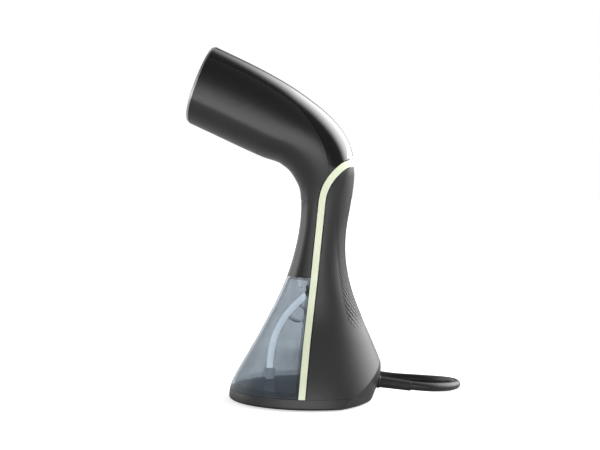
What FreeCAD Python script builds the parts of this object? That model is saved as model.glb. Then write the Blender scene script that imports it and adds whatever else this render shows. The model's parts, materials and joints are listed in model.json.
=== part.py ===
"""Handheld garment steamer with a smoked water tank, as separate sub-components.

Millimetres. +Z is up, the steam head faces -X, the cord leaves towards +X,
and Y = 0 is the plane of symmetry. The origin is on the floor under the base.
Nodes are written as parts/NAME.step.
"""
import math
import os

import FreeCAD
import Part

V = FreeCAD.Vector
os.makedirs("parts", exist_ok=True)
doc = FreeCAD.newDocument("garment_steamer")

# ---------------------------------------------------------------- sizes
SIZES = {
    "wall": 2.2,            # housing shells
    "tankwall": 2.0,        # water tank
    "seam": 0.3,            # gap between neighbouring panels
    "stripwidth": 6.4,      # channel of the pale trim strip, seen from the side
    "reveal": 0.6,          # open shadow line on each side of the strip
    "footlow": 0.8,         # lower edge of the foot above the floor
    "foottop": 8.8,         # top of the foot band
    "tanktop": 99.0,        # flat top of the water tank
    "tankfloor": 13.4,      # inner floor of the tank
    "deck": 2.0,            # deck under the tank, floor of the neck
    "triggerhalf": 12.6,    # half width of the trigger paddle
    "pinradius": 1.5,       # trigger hinge pin
    "pinlength": 31.0,
    "blockdepth": 21.0,     # cast steam chamber, along the head
    "liddepth": 3.0,
    "plateflange": 2.0,     # steam plate in front of the head
    "spigot": 4.0,          # steam plate inside the head
    "thermoradius": 7.5,
    "thermodepth": 5.0,
    "fuseradius": 2.0,
    "fuselength": 13.0,
    "hoseradius": 2.5,      # silicone hoses inside the body
    "hosebore": 1.5,
    "switchlength": 20.0,   # trigger microswitch
    "switchwidth": 6.4,
    "switchheight": 10.2,
    "pumpradius": 11.0,
    "pistonradius": 3.0,
    "pistonlength": 22.0,
    "boardthick": 1.6,
    "boardwidth": 36.0,
    "boardheight": 50.0,
    "padradius": 5.0,       # rubber feet
    "padheight": 2.0,
    "capradius": 9.0,       # filler plug in the tank's far side
    "suctionradius": 2.5,   # hose in the tank
    "suctionbore": 1.6,
    "weightradius": 4.6,    # filter weight on that hose
    "weightheight": 9.0,
    "cordradius": 3.5,
    "plugwidth": 25.0,
    "plugheight": 17.0,
    "pluglength": 36.0,
    "bladewidth": 6.3,
    "bladethick": 1.5,
    "bladelength": 17.0,
}
sheet = doc.addObject("Spreadsheet::Sheet", "Sizes")
for row, (alias, value) in enumerate(SIZES.items(), 1):
    sheet.set("A%d" % row, alias)
    sheet.set("B%d" % row, str(value))
    sheet.setAlias("B%d" % row, alias)
doc.recompute()

WALL = SIZES["wall"]
SEAM = SIZES["seam"]
CORD = SIZES["cordradius"]

# Flared base and neck: height, front X, rear X, half width.
FLARE = [
    (-2, -61.5, 70.5, 55.2),
    (8, -60.8, 68.8, 54.4),
    (16, -58.0, 66.3, 52.0),
    (24, -53.6, 63.4, 48.9),
    (32, -48.9, 60.3, 45.4),
    (40, -44.3, 57.0, 41.8),
    (52, -37.4, 52.0, 36.3),
    (64, -31.0, 46.5, 31.2),
    (76, -24.6, 41.4, 27.4),
    (88, -19.0, 37.2, 24.9),
    (100, -14.0, 34.2, 22.6),
    (112, -10.0, 32.4, 20.8),
    (124, -6.9, 32.0, 19.5),
    (138, -4.3, 33.0, 18.8),
]
# Bend of the neck, as a fan of sections about PIVOT: angle, inner radius, outer radius, half width.
PIVOT = V(-40, 0, 154)
BEND = 65.0
FAN = [
    (0, 37.0, 75.8, 18.6),
    (8, 37.2, 78.3, 19.0),
    (16, 38.1, 82.0, 19.8),
    (24, 38.9, 86.4, 21.0),
    (32, 39.2, 90.2, 22.3),
    (40, 39.7, 92.4, 23.6),
    (48, 40.2, 93.6, 24.8),
    (56.5, 40.2, 94.9, 26.0),
    (65, 40.1, 96.9, 26.9),
]
# Head, square to its own axis: distance along the head, underside, top, half width.
HEAD = [
    (9, 38.9, 98.6, 27.4), (19, 38.4, 99.9, 27.7), (30, 38.25, 100.9, 27.9),
    (41, 38.2, 101.6, 28.0), (52, 38.2, 102.0, 28.0), (63, 38.15, 102.2, 28.0),
    (74, 38.1, 102.3, 28.0), (85, 38.0, 102.4, 28.0), (96, 38.0, 102.5, 28.0),
]
HEAD_SHARE = 0.36           # where a head section is widest, from the underside up
FACE_AT = 79.2              # face plane on the head's axis, and its own tilt
FACE_HEIGHT = 69.0
FACE_TILT = 19.3            # the steam face looks this far above the horizontal

# Middle line of the trim strip in the side view, from the foot up and over the back.
STRIP = [
    (4.5, 0.0), (5.1, 9.4), (7.1, 57.0), (10.6, 100.4), (12.6, 124.0), (15.5, 153.3),
    (17.3, 165.0), (22.3, 175.6), (29.2, 183.8), (35.6, 188.4), (42.0, 189.9), (52.0, 190.3),
]
# Seam between the side panels and the top cover, from the face back to the strip.
TOP_SEAM = [
    (-110.0, 290.0), (-73.7, 273.4), (-52.3, 263.6), (-25.8, 249.5), (-3.3, 233.6),
    (12.1, 214.4), (20.6, 193.5), (22.6, 176.0), (22.8, 160.0),
]
STRIP_HALF = SIZES["stripwidth"] / 2
COUPLING = V(3.6, 0, 86.4)   # elbow of the tank outlet
TANK_BACK = STRIP_HALF + SEAM
# Hose in the tank, from the outlet elbow down to the filter weight.
SUCTION_ROUTE = [
    V(1.3, 0, 83.25), V(-6.9, 0, 77.0), V(-19.2, 0, 61.9), V(-27.6, 0, 43.0), V(-28.8, 0, 24.0),
]
# Mains lead from the strain relief round behind the base to the hank.
CORD_ROUTE = [
    V(60.0, 0, 14.5), V(94.0, 0, 10.9), V(114.5, 14.9, 8.9), V(122.3, 39.0, 7.0),
    V(114.5, 63.1, 5.2), V(94.0, 78.0, CORD), V(65.4, 83.0, CORD), V(43.0, 98.5, CORD),
    V(35.0, 121.5, CORD),
]
# The folded lead: two stacks of runs, open in a loop at both ends, drawn together by the tie.
HANK_MIDDLE = V(5.0, 184.6, 0)
HANK_TURN = 7.9              # degrees from the Y axis towards -X
FOLD_AT = 56.5               # centre of each end loop from the middle
FOLD_OUTER = 21.0 + CORD     # outside radius of an end loop
WAIST_LONG = 16.0            # half length of the drawn-in stretch
WAIST_WIDE = 3.6 + CORD      # half width of it
HANK_LAYERS = 4
HANK_HIGH = 2 * CORD * HANK_LAYERS
TIE_THICK = 1.2

nodes = []


def keep(item, label):
    """Give a finished sub-part its node name."""
    item.Label = label
    nodes.append(item)
    return item


def shaped(label, shape):
    item = doc.addObject("Part::Feature", label)
    item.Shape = shape
    return keep(item, label)


def primitive(kind, name, sizes, place=None):
    """A Part primitive whose sizes are expressions on the sheet."""
    item = doc.addObject("Part::" + kind, name)
    for prop, rule in sizes.items():
        item.setExpression(prop, rule)
    if place is not None:
        item.Placement = place
    return item


def joined(name, pieces):
    item = doc.addObject("Part::MultiFuse", name)
    item.Shapes = pieces
    return item


def minus(name, base, tool):
    item = doc.addObject("Part::Cut", name)
    item.Base = base
    item.Tool = tool
    return item


def origin_plane(body, role):
    return next(f for f in body.Origin.OriginFeatures if f.Role == role)


def sketch_on(body, role, corners):
    """Closed straight-sided outline on one of the body's own planes."""
    sketch = body.newObject("Sketcher::SketchObject", body.Name + "_outline")
    sketch.AttachmentSupport = [(origin_plane(body, role), "")]
    sketch.MapMode = "FlatFace"
    for first, second in zip(corners, corners[1:] + corners[:1]):
        sketch.addGeometry(Part.LineSegment(V(*first, 0), V(*second, 0)), False)
    return sketch


def turned(label, profile, place):
    """A revolved body: profile points are (radius, height) about the body's own Z."""
    body = doc.addObject("PartDesign::Body", label)
    sketch = sketch_on(body, "XZ_Plane", profile)
    turn = body.newObject("PartDesign::Revolution", label + "_turn")
    turn.Profile = sketch
    turn.ReferenceAxis = (sketch, ["V_Axis"])
    turn.Angle = 360
    sketch.Visibility = False
    body.Tip = turn
    body.Placement = place
    return keep(body, label)


def along(start, direction):
    """Placement at start whose own Z points in direction."""
    return FreeCAD.Placement(start, FreeCAD.Rotation(V(0, 0, 1), direction))


def facing(start, lift):
    """Placement whose own X points forwards (-X) and up by lift degrees, own Z up."""
    turn = FreeCAD.Rotation(V(0, 1, 0), lift).multiply(FreeCAD.Rotation(V(0, 0, 1), 180))
    return FreeCAD.Placement(start, turn)


HEAD_PLACE = facing(PIVOT, 90 - BEND)
FORWARD = HEAD_PLACE.Rotation.multVec(V(1, 0, 0))
UPWARD = HEAD_PLACE.Rotation.multVec(V(0, 0, 1))
FACE_PLACE = facing(PIVOT + FORWARD * FACE_AT + UPWARD * FACE_HEIGHT, FACE_TILT)


# ---------------------------------------------------------------- outer form
LEFT_HALF = Part.makeBox(400, 100, 420, V(-200, 0, -50))


def section(origin, angle, low, high, half, share):
    """Closed smooth section: an ellipse whose widest place sits at share of its length."""
    direction = V(math.cos(math.radians(angle)), 0, math.sin(math.radians(angle)))
    widest = low + (high - low) * share
    count = 24
    points = []
    for step in range(count + 1):
        turn = 2 * math.pi * (step % count) / count
        reach = high - widest if math.cos(turn) >= 0 else widest - low
        radius = widest + reach * math.cos(turn)
        points.append(origin + direction * radius + V(0, half * math.sin(turn), 0))
    slope = V(0, half * 2 * math.pi / count, 0)
    curve = Part.BSplineCurve()
    curve.interpolate(Points=points, Parameters=[float(k) for k in range(count + 1)],
                      InitialTangent=slope, FinalTangent=slope)
    return Part.Wire(curve.toShape())


def outer_form(inset):
    """The left half (Y > 0) of the whole body as one solid, its skin moved inwards by inset."""
    rings = []
    stretch = 2.0 if inset else 0.0
    for number, (height, front, rear, half) in enumerate(FLARE):
        start = V(0, 0, height if number else height - stretch)
        rings.append(section(start, 0, front + inset, rear - inset, half - inset, 0.5))
    for angle, low, high, half in FAN:
        share = 0.5 - (0.5 - HEAD_SHARE) * angle / BEND
        rings.append(section(PIVOT, angle, low + inset, high - inset, half - inset, share))
    for ahead, low, high, half in HEAD:
        start = PIVOT + FORWARD * (ahead + stretch)
        rings.append(section(start, BEND, low + inset, high - inset, half - inset, HEAD_SHARE))
    form = Part.makeLoft(rings, True, False).common(LEFT_HALF)
    return form.cut(transom_waste(inset))


def both(half):
    """A half on the Y > 0 side joined to its mirror image."""
    return half.fuse(half.mirror(V(0, 0, 0), V(0, 1, 0))).removeSplitter()


def transom_waste(inset):
    """What lies behind the undercut rear face that the cord comes out of."""
    axis_x = -16.0
    profile = [(70.0, -6.0), (70.2, 0.0), (73.0, 8.0), (76.3, 19.0), (77.0, 26.0), (76.6, 31.0),
               (74.0, 38.0), (70.6, 47.0)]
    curve = Part.BSplineCurve()
    curve.interpolate([V(axis_x + radius - inset, 0, height) for radius, height in profile])
    top = V(axis_x + profile[-1][0] - inset, 0, profile[-1][1])
    low = V(axis_x + profile[0][0] - inset, 0, profile[0][1])
    outline = Part.Wire([
        curve.toShape(),
        Part.makeLine(top, V(axis_x, 0, top.z)),
        Part.makeLine(V(axis_x, 0, top.z), V(axis_x, 0, low.z)),
        Part.makeLine(V(axis_x, 0, low.z), low),
    ])
    drum = Part.Face(outline).revolve(V(axis_x, 0, 0), V(0, 0, 1), 360)
    block = Part.makeBox(80, 140, 52, V(24, -70, -6))
    return block.cut(drum)


def side_curve(points, offset=0.0):
    """Smooth curve in the side view, moved sideways to its right by offset."""
    base = Part.BSplineCurve()
    base.interpolate([V(x, -80, z) for x, z in points])
    if not offset:
        return base.toShape()
    moved = []
    count = 3 * len(points)
    for step in range(count + 1):
        place = base.FirstParameter + (base.LastParameter - base.FirstParameter) * step / count
        tangent = base.tangent(place)[0]
        moved.append(base.value(place) + V(tangent.z, 0, -tangent.x) * offset)
    shifted = Part.BSplineCurve()
    shifted.interpolate(moved)
    return shifted.toShape()


def slab(curve, corners):
    """Prism across the whole width between a side-view curve and the given corners."""
    ends = [curve.valueAt(curve.FirstParameter), curve.valueAt(curve.LastParameter)]
    chain = [ends[1]] + [V(x, -80, z) for x, z in corners] + [ends[0]]
    edges = [curve] + [Part.makeLine(a, b) for a, b in zip(chain, chain[1:])]
    return Part.Face(Part.Wire(edges)).extrude(V(0, 160, 0))


def behind_strip(offset):
    return slab(side_curve(STRIP, offset), [(130, 190.3), (130, -20), (20, -20)])


def above_seam(offset):
    return slab(side_curve(TOP_SEAM, -offset), [(120, 160), (120, 340), (-110, 340)])


def layer(low, high):
    return Part.makeBox(300, 200, high - low, V(-150, -100, low))


print("outer forms")
OUTER = outer_form(0)
face_waste = Part.makeBox(60, 120, 160, V(0, -60, -80))
face_waste.Placement = FACE_PLACE
BODY = OUTER.cut(face_waste)
HOLLOW = outer_form(WALL)
ROOM = both(outer_form(WALL + 0.3))
SHELL = BODY.cut(HOLLOW)
REAR = behind_strip(STRIP_HALF + SEAM / 2)
STRIP_REAR = behind_strip(STRIP_HALF - SIZES["reveal"])
STRIP_FRONT = behind_strip(-STRIP_HALF + SIZES["reveal"])
FRONT_LIMIT = behind_strip(-STRIP_HALF - SEAM / 2)
TANK_LIMIT = behind_strip(-TANK_BACK)
TANK_TOP = SIZES["tanktop"]
FOOT_TOP = SIZES["foottop"]


# ---------------------------------------------------------------- foot
def foot_tray():
    low = SIZES["footlow"]
    band = BODY.common(layer(low, FOOT_TOP))
    lower_rim = [
        edge for edge in band.Edges
        if edge.BoundBox.ZMax < low + 0.01 and edge.BoundBox.YMax > 0.01
    ]
    band = band.makeFillet(1.6, lower_rim)
    tray = both(band.cut(HOLLOW.common(layer(0, FOOT_TOP - SIZES["deck"]))))
    window = Part.makeBox(22, 40, 10, V(20, -20, 2))
    tray = tray.cut(window)
    for x, y in SCREW_SPOTS:
        boss = Part.makeCylinder(3.8, 3.5, V(x, y, 3.6))
        tray = tray.fuse(boss)
        tray = tray.cut(Part.makeCylinder(1.45, 12, V(x, y, 3.0)))
    return shaped("foot_tray", tray.removeSplitter())


SCREW_SPOTS = [(-42, 0), (-4, 40), (-4, -40), (44, 22), (44, -22)]
FOOT_SPOTS = [(0, 0), (-38, 22), (-38, -22), (32, 34), (32, -34)]


def base_plate():
    plate = ROOM.common(layer(1.1, 3.4))
    for x, y in SCREW_SPOTS:
        plate = plate.cut(Part.makeCylinder(1.7, 6, V(x, y, 0)))
        plate = plate.cut(Part.makeCylinder(3.2, 1.4, V(x, y, 0.9)))
    for x, y in FOOT_SPOTS:
        plate = plate.cut(Part.makeCylinder(SIZES["padradius"] + 0.1, 1.1, V(x, y, 0.9)))
    return shaped("base_plate", plate)


def rubber_feet():
    pads = []
    for number, (x, y) in enumerate(FOOT_SPOTS):
        place = FreeCAD.Placement(V(x, y, 0), FreeCAD.Rotation())
        rules = {"Radius": "Sizes.padradius", "Height": "Sizes.padheight"}
        pads.append(primitive("Cylinder", "foot_pad_%d" % number, rules, place))
    group = doc.addObject("Part::Compound", "rubber_feet")
    group.Links = pads
    return keep(group, "rubber_feet")


def base_screws():
    screws = []
    for x, y in SCREW_SPOTS:
        head = Part.makeCylinder(2.9, 1.3, V(x, y, 1.0))
        shank = Part.makeCylinder(1.4, 5.6, V(x, y, 1.2))
        slot = Part.makeBox(4.2, 0.8, 0.7, V(x - 2.1, y - 0.4, 0.9))
        cross = Part.makeBox(0.8, 4.2, 0.7, V(x - 0.4, y - 2.1, 0.9))
        screws.append(head.fuse(shank).cut(slot).cut(cross))
    return shaped("base_screws", Part.makeCompound(screws))


# ---------------------------------------------------------------- housing shells
def grip_cover():
    cover = both(SHELL.common(REAR).common(layer(FOOT_TOP + 0.15, 200)))
    relief = Part.makeCylinder(RELIEF_NECK + 0.05, 30, RELIEF_START - RELIEF_LINE * 10, RELIEF_LINE)
    return shaped("grip_cover", cover.cut(relief))


def trim_strip():
    band = SHELL.common(STRIP_FRONT).cut(STRIP_REAR).common(layer(FOOT_TOP + 0.15, 240))
    return shaped("trim_strip", both(band))


def top_cover():
    cover = both(SHELL.cut(FRONT_LIMIT).common(above_seam(SEAM / 2)).common(layer(160, 400)))
    cover = cover.cut(button_opening(0.0))
    return shaped("top_cover", cover)


def side_shell():
    """Left half of the neck and head panels, with an ear for the trigger pin."""
    panel = SHELL.cut(FRONT_LIMIT).cut(above_seam(-SEAM / 2)).common(layer(TANK_TOP + 0.4, 400))
    panel = panel.cut(Part.makeBox(400, 0.1, 400, V(-200, 0, 0))).cut(trigger_slot())
    ear = Part.makeBox(9.0, 2.2, 13.0, V(8.5, -15.6, 38.0))
    ear.Placement = HEAD_PLACE.multiply(ear.Placement)
    panel = panel.fuse(ear.common(BODY))
    reach = SIZES["pinlength"] / 2 + 0.2
    hole = Part.makeCylinder(SIZES["pinradius"] + 0.02, 2 * reach, PIN - V(0, reach, 0), V(0, 1, 0))
    return panel.cut(hole).removeSplitter()


def side_shells():
    left = side_shell()
    shaped("left_shell", left)
    shaped("right_shell", left.mirror(V(0, 0, 0), V(0, 1, 0)))


def neck_floor():
    plate = outer_form(WALL + 0.1).common(layer(TANK_TOP + 0.4, TANK_TOP + 0.4 + SIZES["deck"]))
    plate = plate.cut(behind_strip(-STRIP_HALF + 4))
    return shaped("neck_floor", both(plate))


def bulkhead():
    """Inner wall behind the tank, with four posts for the control board."""
    front = behind_strip(-TANK_BACK + 0.5)
    back = behind_strip(-TANK_BACK + 2.5)
    wall = HOLLOW_SMALL.common(front).cut(back).common(layer(FOOT_TOP + 0.3, TANK_TOP + 0.3))
    wall = both(wall)
    for y in (-BOARD_POST_Y, BOARD_POST_Y):
        for z in BOARD_POST_Z:
            post = Part.makeCylinder(2.6, BOARD_X - 1.0, V(1.0, y, z), V(1, 0, 0))
            wall = wall.fuse(post.common(front))
    wall = wall.cut(Part.makeCylinder(4.1, 20, V(0, 0, COUPLING.z), V(1, 0, 0)))
    return shaped("bulkhead", wall.removeSplitter())


# ---------------------------------------------------------------- trigger and switch
PIN = PIVOT + FORWARD * 13 + UPWARD * 44.5


def trigger_sector(first, ahead, low, high, half):
    """Space about the inner bend from an angle to a place ahead on the head's underside."""
    start = V(math.cos(math.radians(first)), 0, math.sin(math.radians(first)))
    arc = Part.Arc(
        PIVOT + start * high,
        PIVOT + V(math.cos(math.radians((first + BEND) / 2)), 0,
                  math.sin(math.radians((first + BEND) / 2))) * high,
        PIVOT + UPWARD * high,
    )
    corner = PIVOT + UPWARD * high + FORWARD * ahead
    bottom = PIVOT + UPWARD * low + FORWARD * ahead
    edges = [
        arc.toShape(),
        Part.makeLine(PIVOT + UPWARD * high, corner),
        Part.makeLine(corner, bottom),
        Part.makeLine(bottom, PIVOT + start * low),
        Part.makeLine(PIVOT + start * low, PIVOT + start * high),
    ]
    face = Part.Face(Part.Wire(edges))
    face.translate(V(0, -half, 0))
    return face.extrude(V(0, 2 * half, 0))


def trigger_slot():
    return trigger_sector(7.0, 15.6, 20.0, 47.0, SIZES["triggerhalf"] + 0.4)


def trigger():
    """Curved paddle on the inside of the bend, hollow behind, with a push stud."""
    half = SIZES["triggerhalf"]
    block = BODY.common(trigger_sector(7.6, 15.0, 20.0, 46.0, half))
    inside = HOLLOW.common(trigger_sector(9.6, 10.8, 10.0, 60.0, half - 1.8))
    stud_line = V(math.cos(math.radians(13.6)), 0, math.sin(math.radians(13.6)))
    stud = Part.makeCylinder(2.2, 5.2, PIVOT + stud_line * 39.5, stud_line)
    paddle = both(block.cut(inside)).fuse(stud)
    hole = Part.makeCylinder(SIZES["pinradius"] + 0.04, 60, PIN - V(0, 30, 0), V(0, 1, 0))
    spring_room = Part.makeCylinder(3.7, 8.0, PIN - V(0, 4.0, 0), V(0, 1, 0))
    return shaped("trigger", paddle.cut(hole).cut(spring_room))


def trigger_pin():
    place = along(PIN - V(0, SIZES["pinlength"] / 2, 0), V(0, 1, 0))
    rules = {"Radius": "Sizes.pinradius", "Height": "Sizes.pinlength"}
    return keep(primitive("Cylinder", "trigger_pin", rules, place), "trigger_pin")


def coil_spring(label, radius, wire, pitch, height, place):
    """Helical spring along the placement's own Z."""
    helix = Part.makeHelix(pitch, height, radius)
    profile = Part.Wire(Part.makeCircle(wire, V(radius, 0, 0), V(0, 1, 0)))
    spring = Part.Wire(helix).makePipeShell([profile], True, True)
    item = shaped(label, spring)
    item.Placement = place
    return item


SWITCH_PLACE = facing(
    PIVOT + V(math.cos(math.radians(24)), 0, math.sin(math.radians(24))) * 49.5, 66)
LEVER_HINGE = SWITCH_PLACE.multVec(V(8, 0, -1.1))


def microswitch():
    corner = SWITCH_PLACE.multiply(FreeCAD.Placement(
        V(-SIZES["switchlength"] / 2, -SIZES["switchwidth"] / 2, 0), FreeCAD.Rotation()))
    case = primitive("Box", "switch_case", {
        "Length": "Sizes.switchlength", "Width": "Sizes.switchwidth",
        "Height": "Sizes.switchheight",
    }, corner)
    tabs = []
    for number, x in enumerate((-7.5, 0.0, 7.5)):
        tab = doc.addObject("Part::Box", "switch_tab_%d" % number)
        tab.Length, tab.Width, tab.Height = 0.6, 4.0, 1.2
        tab.Placement = SWITCH_PLACE.multiply(
            FreeCAD.Placement(V(x, -2, SIZES["switchheight"]), FreeCAD.Rotation()))
        tabs.append(tab)
    return keep(joined("microswitch", [case] + tabs), "microswitch")


def switch_lever():
    """Thin sprung lever of the microswitch, in the switch's own frame."""
    leaf = Part.makeBox(19.4, 4.4, 0.5, V(-19.4, -2.2, -0.25))
    knuckle = Part.makeCylinder(0.7, 4.4, V(0, -2.2, 0), V(0, 1, 0))
    lever = leaf.fuse(knuckle).removeSplitter()
    item = shaped("switch_lever", lever)
    item.Placement = SWITCH_PLACE.multiply(FreeCAD.Placement(
        V(8, 0, -1.1), FreeCAD.Rotation(V(0, 1, 0), -9.0)))
    return item


# ---------------------------------------------------------------- power button
BUTTON_BASE = 193.0         # flat lower side, just above the strip
BUTTON_RISE = 10.4
BUTTON_HALF = 10.6


def button_opening(inset):
    """Half-moon prism along X at the back of the head."""
    base = BUTTON_BASE + inset
    rise = BUTTON_RISE - 2 * inset
    half = BUTTON_HALF - 1.4 * inset
    curve = Part.BSplineCurve()
    points = []
    for step in range(9):
        turn = math.pi * step / 8
        points.append(V(22, half * math.cos(turn), base + rise * math.sin(turn)))
    curve.interpolate(points)
    chord = Part.makeLine(points[-1], points[0])
    return Part.Face(Part.Wire([curve.toShape(), chord])).extrude(V(30, 0, 0))


def indicator_ring():
    ring = SHELL.common(button_opening(0.05)).cut(button_opening(1.15))
    return shaped("indicator_ring", both(ring))


def power_button():
    cap = both(SHELL.common(button_opening(1.45)))
    stem = Part.makeCylinder(2.0, 9.0, V(26.5, 0, BUTTON_BASE + 4.4), V(1, 0, 0))
    return shaped("power_button", cap.fuse(stem).removeSplitter())


def button_switch():
    corner = FreeCAD.Placement(V(16.6, -4.0, BUTTON_BASE + 0.4), FreeCAD.Rotation())
    case = doc.addObject("Part::Box", "button_switch_case")
    case.Length, case.Width, case.Height = 6.0, 8.0, 8.0
    case.Placement = corner
    plunger = doc.addObject("Part::Cylinder", "button_switch_plunger")
    plunger.Radius, plunger.Height = 1.6, 2.2
    plunger.Placement = along(V(22.6, 0, BUTTON_BASE + 4.4), V(1, 0, 0))
    return keep(joined("button_switch", [case, plunger]), "button_switch")


# ---------------------------------------------------------------- steam head
def face_outline(inset, depth_from, depth_to):
    """Prism of the head's front outline, in the face plane's own frame."""
    low = -FACE_HEIGHT + 38.1 + inset
    high = -FACE_HEIGHT + 102.4 - inset
    half = 28.0 - inset
    widest = low + (high - low) * HEAD_SHARE
    count = 24
    points = []
    for step in range(count):
        turn = 2 * math.pi * step / count
        reach = high - widest if math.cos(turn) >= 0 else widest - low
        points.append(V(depth_from, half * math.sin(turn), widest + reach * math.cos(turn)))
    curve = Part.BSplineCurve()
    curve.interpolate(points, PeriodicFlag=True)
    face = Part.Face(Part.Wire(curve.toShape()))
    return face.extrude(V(depth_to - depth_from, 0, 0))


STEAM_HOLES = [(0, 22), (9, 17), (14, 7), (15, -5), (9, -16)]
CHAMBER_INSET = 8.5


def placed_on_face(label, shape):
    item = shaped(label, shape)
    item.Placement = FACE_PLACE
    return item


def within_head(shape):
    """What of a shape in the face plane's frame fits between the head's walls."""
    room = ROOM.copy()
    room.Placement = FACE_PLACE.inverse()
    return shape.common(room)


def steam_plate():
    flange = face_outline(0.4, 0.25, 0.25 + SIZES["plateflange"])
    front_rim = [edge for edge in flange.Edges if edge.BoundBox.XMin > 0.3 + SIZES["plateflange"] / 2]
    flange = flange.makeFillet(1.2, front_rim)
    spigot = face_outline(WALL + 0.8, -SIZES["spigot"], 0.5)
    hollow = face_outline(WALL + 3.2, -SIZES["spigot"] - 1, -0.6)
    plate = flange.fuse(within_head(spigot)).cut(hollow)
    groove = face_outline(9.0, 0.25 + SIZES["plateflange"] - 0.7, 5).cut(
        face_outline(15.0, 0, 5))
    plate = plate.cut(groove)
    for y, z in STEAM_HOLES:
        for side in ((1, -1) if y else (1,)):
            plate = plate.cut(Part.makeCylinder(1.3, 12, V(-6, side * y, z), V(1, 0, 0)))
    return placed_on_face("steam_plate", plate.removeSplitter())


def plate_seal():
    low = -SIZES["spigot"] - 1.4
    ring = face_outline(WALL + 0.9, low, -SIZES["spigot"]).cut(
        face_outline(CHAMBER_INSET - 0.1, low - 1, 0))
    return placed_on_face("plate_seal", within_head(ring))


def heater_block():
    """Cast steam chamber with its inner labyrinth open to the plate."""
    front = -SIZES["spigot"] - 1.4
    back = front - SIZES["blockdepth"]
    block = face_outline(CHAMBER_INSET, back, front + 1.4)
    pocket = face_outline(CHAMBER_INSET + 4, back + 9, front + 3)
    block = block.cut(pocket)
    for z in (-14.0, -4.0, 6.0):
        block = block.fuse(Part.makeBox(front - back - 9, 22, 2.4, V(back + 9, -11, z)))
    inlet = Part.makeCylinder(1.5, 20, V(back - 1, 0, INLET_Z), V(1, 0, 0))
    return placed_on_face("heater_block", block.cut(inlet).removeSplitter())


INLET_Z = -8.0


def chamber_lid():
    back = -SIZES["spigot"] - 1.4 - SIZES["blockdepth"]
    lid = face_outline(CHAMBER_INSET, back - SIZES["liddepth"], back)
    lid = lid.fuse(Part.makeCylinder(3.2, 8, V(back - SIZES["liddepth"] - 8, 0, INLET_Z), V(1, 0, 0)))
    lid = lid.cut(Part.makeCylinder(1.5, 20, V(back - 14, 0, INLET_Z), V(1, 0, 0)))
    for y, z in LID_SCREWS:
        lid = lid.cut(Part.makeCylinder(1.7, 20, V(back - 14, y, z), V(1, 0, 0)))
    return placed_on_face("chamber_lid", lid.removeSplitter())


LID_SCREWS = [(13, -12), (-13, -12), (9, 14), (-9, 14)]
LID_BACK = -SIZES["spigot"] - 1.4 - SIZES["blockdepth"] - SIZES["liddepth"]


def lid_screws():
    screws = []
    for y, z in LID_SCREWS:
        head = Part.makeCylinder(3.0, 2.0, V(LID_BACK - 2.0, y, z), V(1, 0, 0))
        shank = Part.makeCylinder(1.6, 5.0, V(LID_BACK - 0.5, y, z), V(1, 0, 0))
        shank = shank.common(Part.makeBox(3.5, 60, 60, V(LID_BACK - 0.5, -30, -30)))
        screws.append(head.fuse(shank))
    return placed_on_face("lid_screws", Part.makeCompound(screws))


def heater_terminals():
    """The two cold ends of the heating rod, with their push-on tabs."""
    ends = []
    for y in (-14.5, 14.5):
        rod = Part.makeCylinder(3.2, 7.0, V(LID_BACK - 7.0, y, 2.5), V(1, 0, 0))
        tab = Part.makeBox(8.0, 0.8, 6.3, V(LID_BACK - 15.0, y - 0.4, -0.65))
        ends.append(rod.fuse(tab))
    return placed_on_face("heater_terminals", Part.makeCompound(ends))


def thermostat():
    place = FACE_PLACE.multiply(along(V(LID_BACK, 0, 5.5), V(-1, 0, 0)))
    disc = primitive("Cylinder", "thermostat_disc", {
        "Radius": "Sizes.thermoradius", "Height": "Sizes.thermodepth"}, place)
    tabs = []
    for number, y in enumerate((-5.0, 4.2)):
        tab = doc.addObject("Part::Box", "thermostat_tab_%d" % number)
        tab.Length, tab.Width, tab.Height = 7.0, 0.8, 5.0
        tab.Placement = FACE_PLACE.multiply(FreeCAD.Placement(
            V(LID_BACK - SIZES["thermodepth"] - 7.0, y, 3.0), FreeCAD.Rotation()))
        tabs.append(tab)
    return keep(joined("thermostat", [disc] + tabs), "thermostat")


def thermal_fuse():
    place = FACE_PLACE.multiply(along(
        V(LID_BACK - SIZES["fuseradius"], -SIZES["fuselength"] / 2, 19.0), V(0, 1, 0)))
    rules = {"Radius": "Sizes.fuseradius", "Height": "Sizes.fuselength"}
    return keep(primitive("Cylinder", "thermal_fuse", rules, place), "thermal_fuse")


# ---------------------------------------------------------------- pump and hoses
PUMP_X = 16.0
PUMP_LOW = 106.0
HOSE_BEND = 64.0            # radius of the steam hose about PIVOT
HOSE_TOP = FACE_PLACE.multVec(V(LID_BACK - 8.0, 0, INLET_Z))


def pump_body():
    bore = SIZES["pistonradius"] + 0.05
    profile = [
        (bore, 3.0), (5.0, 3.0), (5.0, 0.0), (9.0, 0.0), (9.0, 10.0), (5.4, 10.0), (5.4, 34.0),
        (8.0, 34.0), (8.0, 38.0), (1.2, 38.0), (1.2, 35.0), (bore, 35.0),
    ]
    return turned("pump_body", profile, FreeCAD.Placement(V(PUMP_X, 0, PUMP_LOW), FreeCAD.Rotation()))


def pump_coil():
    profile = [(5.6, 10.4), (SIZES["pumpradius"], 10.4), (SIZES["pumpradius"], 33.6), (5.6, 33.6)]
    return turned("pump_coil", profile, FreeCAD.Placement(V(PUMP_X, 0, PUMP_LOW), FreeCAD.Rotation()))


def pump_head():
    """Outlet block on top of the pump, its nipple under the steam hose."""
    block = Part.makeBox(18.0, 11.0, 5.0, V(PUMP_X - 7.0, -5.5, PUMP_LOW + 38.1))
    nipple_x = PIVOT.x + HOSE_BEND
    nipple = Part.makeCylinder(SIZES["hosebore"], 7.0, V(nipple_x, 0, PUMP_LOW + 41.5))
    channel = Part.makeCylinder(0.8, 9.0, V(nipple_x, 0, PUMP_LOW + 40.5))
    return shaped("pump_head", block.fuse(nipple).cut(channel).removeSplitter())


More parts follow.
